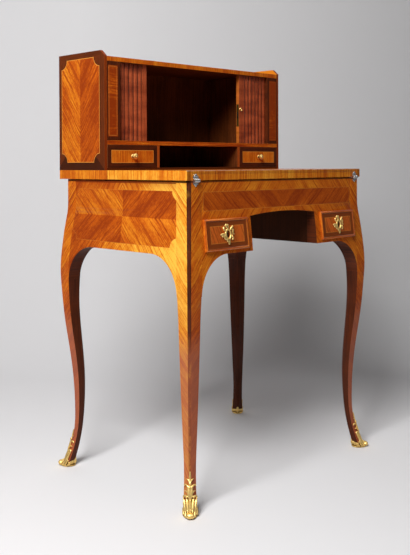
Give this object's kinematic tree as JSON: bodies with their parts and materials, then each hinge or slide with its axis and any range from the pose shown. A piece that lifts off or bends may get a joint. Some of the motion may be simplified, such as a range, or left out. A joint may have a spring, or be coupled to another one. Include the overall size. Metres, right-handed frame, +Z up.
{
  "type": "bonheur du jour",
  "caption": "Lady's writing desk on cabriole legs with a fold-over writing leaf, kneehole, drawers and a low tambour cabinet with small drawers at the back of the top.",
  "frame": {"origin": "on the floor under the middle of the desk's bounding box", "axes": "+X to the sitter's right, +Y to the back, +Z up"},
  "size_m": [0.653, 0.4602, 0.997],
  "materials": {
    "leg_veneer": "french polished veneer",
    "tulipwood_veneer": "french polished veneer",
    "drawer_veneer": "french polished veneer",
    "tambour_wood": "french polished",
    "amaranth": "french polished veneer",
    "oak": "waxed",
    "writing_leather": "tooled and waxed",
    "gilt_bronze": "chased and gilt",
    "lock_brass": "aged",
    "hinge_steel": "dark, worn"
  },
  "bodies": {
    "carcass": {"leg_front_left": "leg_veneer", "sabot_front_left": "gilt_bronze", "leg_front_right": "leg_veneer", "sabot_front_right": "gilt_bronze", "leg_rear_left": "leg_veneer", "sabot_rear_left": "gilt_bronze", "leg_rear_right": "leg_veneer", "sabot_rear_right": "gilt_bronze", "front_apron": "tulipwood_veneer", "rear_apron": "tulipwood_veneer", "left_apron": "tulipwood_veneer", "right_apron": "tulipwood_veneer", "bed_board": "tulipwood_veneer", "bed_leather": "writing_leather", "fixed_top": "tulipwood_veneer", "kneehole_cheeks": "oak", "kneehole_ceiling": "oak", "left_drawer_case": "oak", "right_drawer_case": "oak", "left_cabinet_side": "tulipwood_veneer", "right_cabinet_side": "tulipwood_veneer", "cabinet_top": "tulipwood_veneer", "cabinet_shelf": "tulipwood_veneer", "cabinet_base": "amaranth", "cabinet_back": "oak", "cabinet_dividers": "tulipwood_veneer", "cabinet_stiles": "tulipwood_veneer", "pocket_linings": "oak", "leg_hinge_plates": "hinge_steel", "hinge_pins": "hinge_steel"},
    "leaf": {"writing_leaf": "tulipwood_veneer", "leaf_leather": "writing_leather", "leaf_hinge_plates": "hinge_steel"},
    "left_shutter": {"left_tambour_lead": "tambour_wood", "left_tambour_slats": "tambour_wood", "left_tambour_tail": "tambour_wood", "tambour_strike_plate": "lock_brass"},
    "right_shutter": {"right_tambour_lead": "tambour_wood", "right_tambour_slats": "tambour_wood", "right_tambour_tail": "tambour_wood", "tambour_lock_plate": "lock_brass", "tambour_keyhole_ring": "lock_brass"},
    "tambour_lock_bolt": {"tambour_bolt": "hinge_steel"},
    "left_small_drawer": {"left_small_drawer_front": "drawer_veneer", "left_small_drawer_box": "oak", "left_small_drawer_knob": "gilt_bronze"},
    "left_drawer": {"left_drawer_front": "drawer_veneer", "left_drawer_box": "oak", "left_drawer_escutcheon": "gilt_bronze", "left_drawer_lock": "hinge_steel"},
    "left_drawer_lock_bolt": {"left_drawer_bolt": "hinge_steel"},
    "right_small_drawer": {"right_small_drawer_front": "drawer_veneer", "right_small_drawer_box": "oak", "right_small_drawer_knob": "gilt_bronze"},
    "right_drawer": {"right_drawer_front": "drawer_veneer", "right_drawer_box": "oak", "right_drawer_escutcheon": "gilt_bronze", "right_drawer_lock": "hinge_steel"},
    "right_drawer_lock_bolt": {"right_drawer_bolt": "hinge_steel"}
  },
  "joints": [
    {"name": "leaf_hinge", "type": "hinge", "parent": "carcass", "child": "leaf", "pos_m": [0, -0.2142, 0.69885], "axis": [1, 0, 0], "range_deg": [0, 180]},
    {"name": "left_shutter_slide", "type": "slide", "parent": "carcass", "child": "left_shutter", "axis": [1, 0, 0], "range_m": [-0.032, 0.1757], "deforming": ["left_tambour_tail"]},
    {"name": "right_shutter_slide", "type": "slide", "parent": "carcass", "child": "right_shutter", "axis": [-1, 0, 0], "range_m": [-0.036, 0.1577], "deforming": ["right_tambour_tail"]},
    {"name": "tambour_bolt_slide", "type": "slide", "parent": "right_shutter", "child": "tambour_lock_bolt", "axis": [-1, 0, 0], "range_m": [0, 0.006]},
    {"name": "left_small_drawer_slide", "type": "slide", "parent": "carcass", "child": "left_small_drawer", "axis": [0, -1, 0], "range_m": [0, 0.11]},
    {"name": "left_drawer_slide", "type": "slide", "parent": "carcass", "child": "left_drawer", "axis": [0, -1, 0], "range_m": [0, 0.24]},
    {"name": "left_drawer_bolt_slide", "type": "slide", "parent": "left_drawer", "child": "left_drawer_lock_bolt", "axis": [0, 0, 1], "range_m": [0, 0.006]},
    {"name": "right_small_drawer_slide", "type": "slide", "parent": "carcass", "child": "right_small_drawer", "axis": [0, -1, 0], "range_m": [0, 0.11]},
    {"name": "right_drawer_slide", "type": "slide", "parent": "carcass", "child": "right_drawer", "axis": [0, -1, 0], "range_m": [0, 0.24]},
    {"name": "right_drawer_bolt_slide", "type": "slide", "parent": "right_drawer", "child": "right_drawer_lock_bolt", "axis": [0, 0, 1], "range_m": [0, 0.006]}
  ]
}
